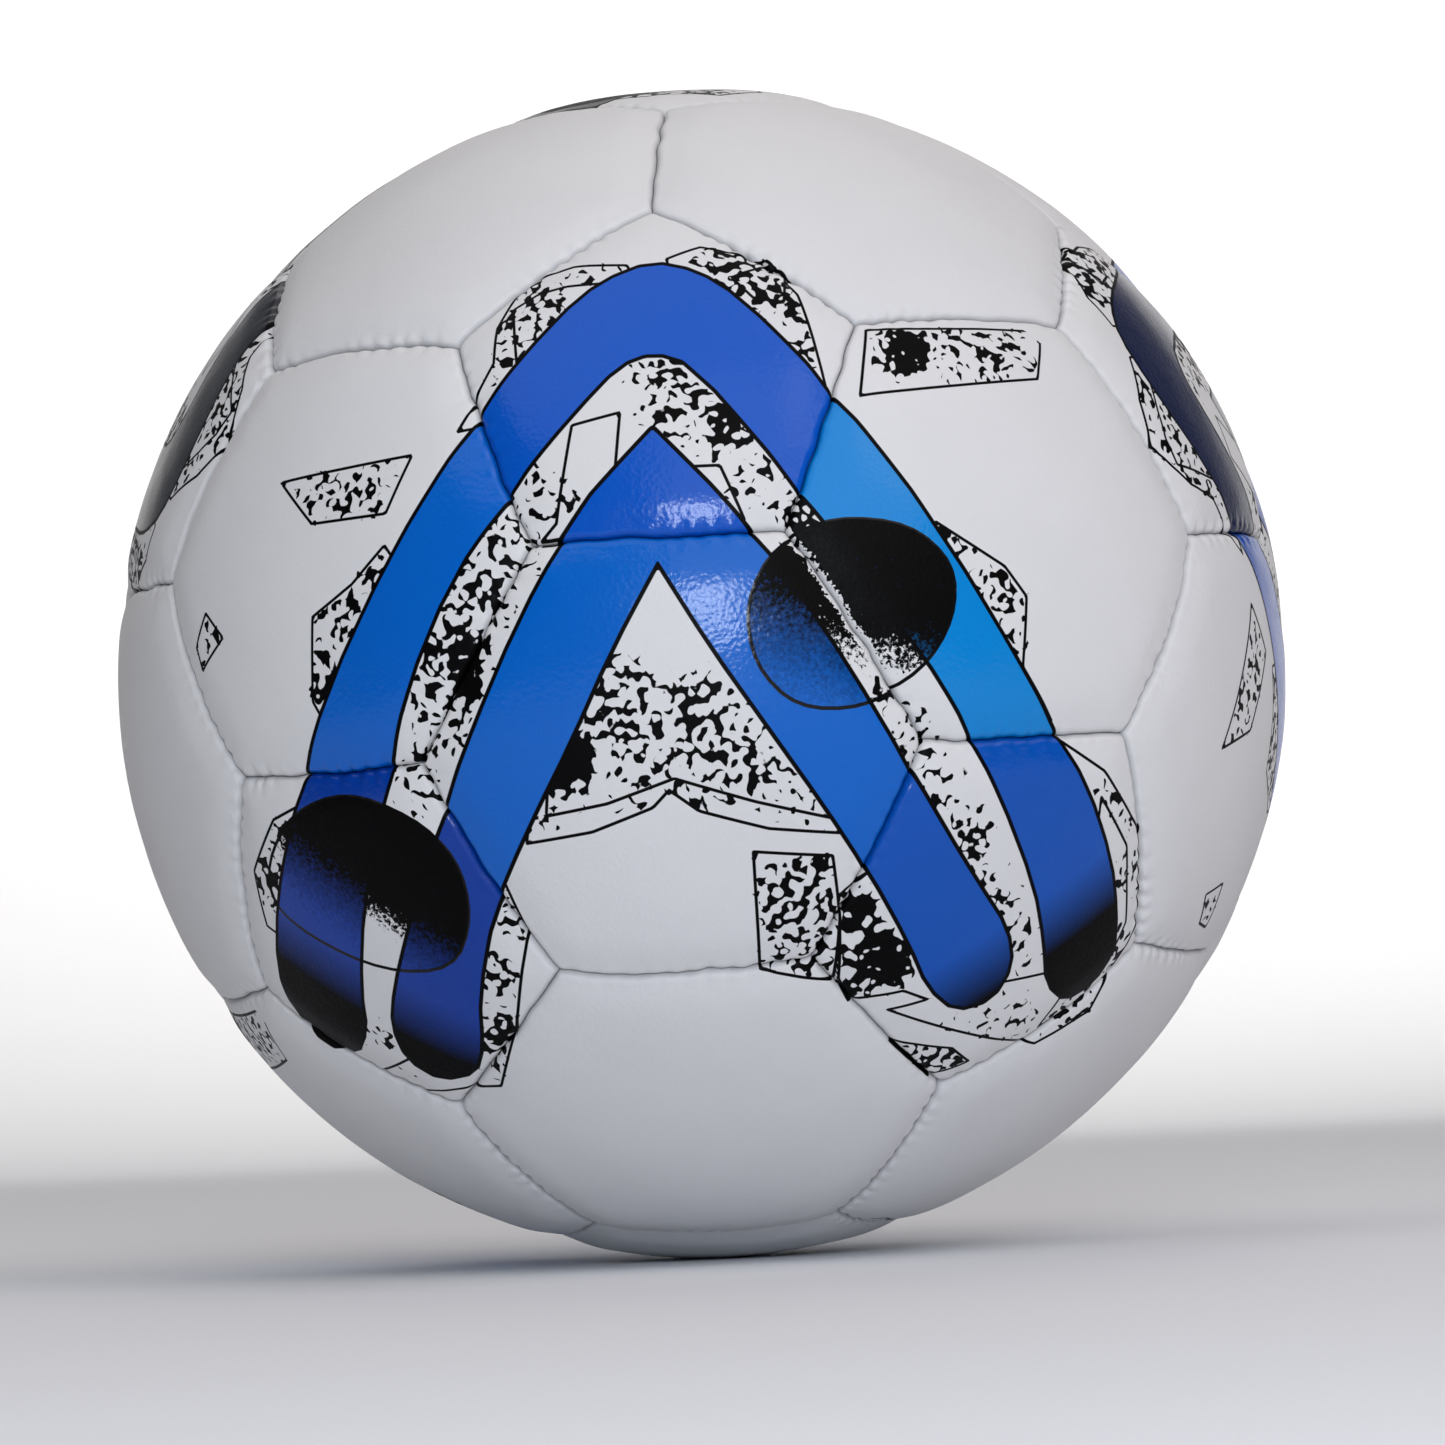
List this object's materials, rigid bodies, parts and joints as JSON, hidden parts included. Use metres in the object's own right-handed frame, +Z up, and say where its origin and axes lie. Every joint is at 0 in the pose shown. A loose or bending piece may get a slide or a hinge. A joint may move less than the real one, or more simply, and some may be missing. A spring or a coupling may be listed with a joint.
{
  "type": "soccer ball",
  "caption": "Hand-stitched ball with a padded panel cover, sewing threads, a rubber bladder and an inflation valve.",
  "frame": {"origin": "centre of the ball", "axes": "+Z up through the valve in the top pentagon, with the ball resting on the bottom pentagon; -Y towards the front, through the upper part of the front panel hexagon_lower_middle_1"},
  "size_m": [0.2186, 0.2198, 0.22],
  "materials": {
    "pentagon_cover": "printed polyurethane synthetic leather, fine pebble grain, satin gloss",
    "hexagon_cover": "white polyurethane synthetic leather with printed bands, fine pebble grain, satin gloss",
    "thread": "waxed twisted polyester yarn",
    "bladder_rubber": "moulded butyl rubber, matte",
    "valve_rubber": "moulded butyl rubber, matte",
    "backing_cloth": "woven cotton and polyester cloth"
  },
  "bodies": {
    "root": {"pentagon_top": "pentagon_cover", "pentagon_upper_1": "pentagon_cover", "pentagon_upper_2": "pentagon_cover", "pentagon_upper_3": "pentagon_cover", "pentagon_upper_4": "pentagon_cover", "pentagon_upper_5": "pentagon_cover", "pentagon_lower_1": "pentagon_cover", "pentagon_lower_2": "pentagon_cover", "pentagon_lower_3": "pentagon_cover", "pentagon_lower_4": "pentagon_cover", "pentagon_lower_5": "pentagon_cover", "pentagon_bottom": "pentagon_cover", "hexagon_upper_1": "hexagon_cover", "hexagon_upper_2": "hexagon_cover", "hexagon_upper_3": "hexagon_cover", "hexagon_upper_4": "hexagon_cover", "hexagon_upper_5": "hexagon_cover", "hexagon_upper_middle_1": "hexagon_cover", "hexagon_upper_middle_2": "hexagon_cover", "hexagon_upper_middle_3": "hexagon_cover", "hexagon_upper_middle_4": "hexagon_cover", "hexagon_upper_middle_5": "hexagon_cover", "hexagon_lower_middle_1": "hexagon_cover", "hexagon_lower_middle_2": "hexagon_cover", "hexagon_lower_middle_3": "hexagon_cover", "hexagon_lower_middle_4": "hexagon_cover", "hexagon_lower_middle_5": "hexagon_cover", "hexagon_lower_1": "hexagon_cover", "hexagon_lower_2": "hexagon_cover", "hexagon_lower_3": "hexagon_cover", "hexagon_lower_4": "hexagon_cover", "hexagon_lower_5": "hexagon_cover", "thread_upper_half": "thread", "thread_lower_half": "thread", "thread_closing_seam": "thread", "bladder": "bladder_rubber", "balance_patch": "bladder_rubber", "valve_body": "valve_rubber", "valve_core": "valve_rubber", "valve_reinforcement": "backing_cloth"}
  },
  "joints": []
}
